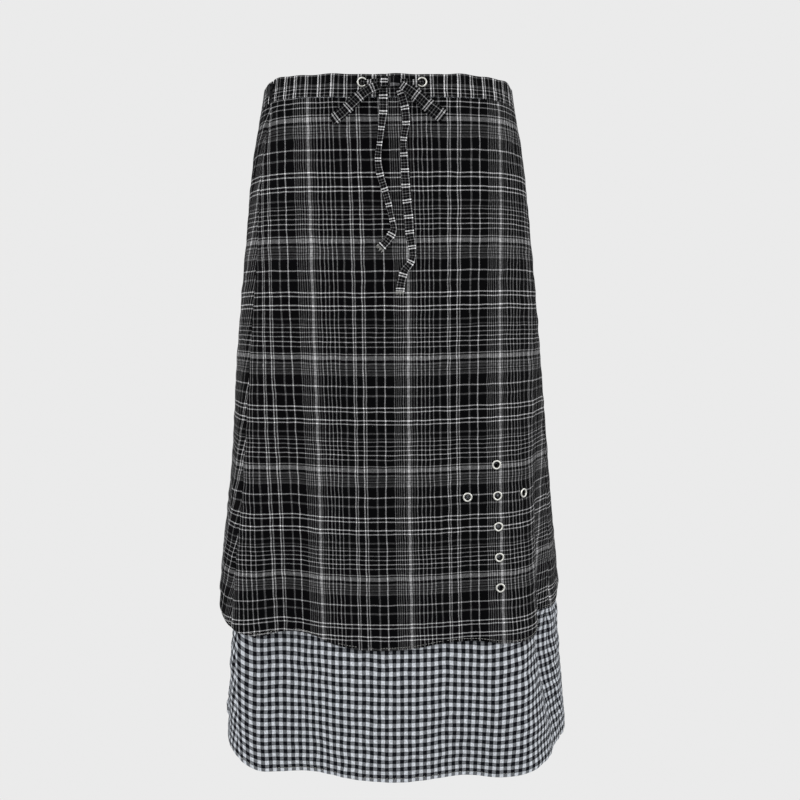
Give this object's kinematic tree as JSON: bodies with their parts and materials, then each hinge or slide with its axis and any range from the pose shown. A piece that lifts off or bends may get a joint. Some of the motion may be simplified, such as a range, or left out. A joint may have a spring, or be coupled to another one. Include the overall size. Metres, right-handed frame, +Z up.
{
  "type": "two-layer A-line maxi skirt, filled out as worn",
  "caption": "Hollow two-layer long skirt: a checked overskirt with ring eyelets and a bow at the waistband, over a longer gingham underskirt, with a side zip.",
  "frame": {"origin": "middle of the waist opening, level with the middle of the waistband's height at the centre front", "axes": "+Z up, front faces -Y, +X to the right in the front view (the wearer's left)"},
  "size_m": [0.4525, 0.3629, 0.8438],
  "materials": {
    "plaid": "brushed yarn-dyed cotton, black check with grey and off-white lines",
    "band": "the overskirt's checked cotton, cut across the grain",
    "gingham": "crinkled black and white gingham cotton",
    "tie_tape": "flat tape of the checked cotton",
    "eyelet_metal": "silver-plated ring, softly polished",
    "zip_black": "black coil zip with a black-lacquered slider"
  },
  "bodies": {
    "skirt": {"overskirt_front": "plaid", "overskirt_back": "plaid", "waistband_front": "band", "waistband_back": "band", "underskirt_front": "gingham", "underskirt_back": "gingham", "tie_knot": "tie_tape", "tie_loop_left": "tie_tape", "tie_loop_right": "tie_tape", "tie_strand_left": "tie_tape", "tie_strand_right": "tie_tape", "tie_tail_left": "tie_tape", "tie_tail_right": "tie_tape", "eyelet_band_left": "eyelet_metal", "eyelet_band_right": "eyelet_metal", "eyelet_cross_top": "eyelet_metal", "eyelet_cross_centre": "eyelet_metal", "eyelet_cross_left_arm": "eyelet_metal", "eyelet_cross_right_arm": "eyelet_metal", "eyelet_cross_lower_1": "eyelet_metal", "eyelet_cross_lower_2": "eyelet_metal", "eyelet_cross_lower_3": "eyelet_metal", "zip_tape": "zip_black", "zip_teeth": "zip_black", "zip_slider": "zip_black"},
    "pull_tab": {"zip_pull": "zip_black"}
  },
  "joints": [
    {"name": "pull_tab_swing", "type": "hinge", "parent": "skirt", "child": "pull_tab", "pos_m": [-0.13714, -0.07318, -0.00544], "axis": [-0.5124, 0.8313, -0.2155], "range_deg": [0, 150]}
  ]
}
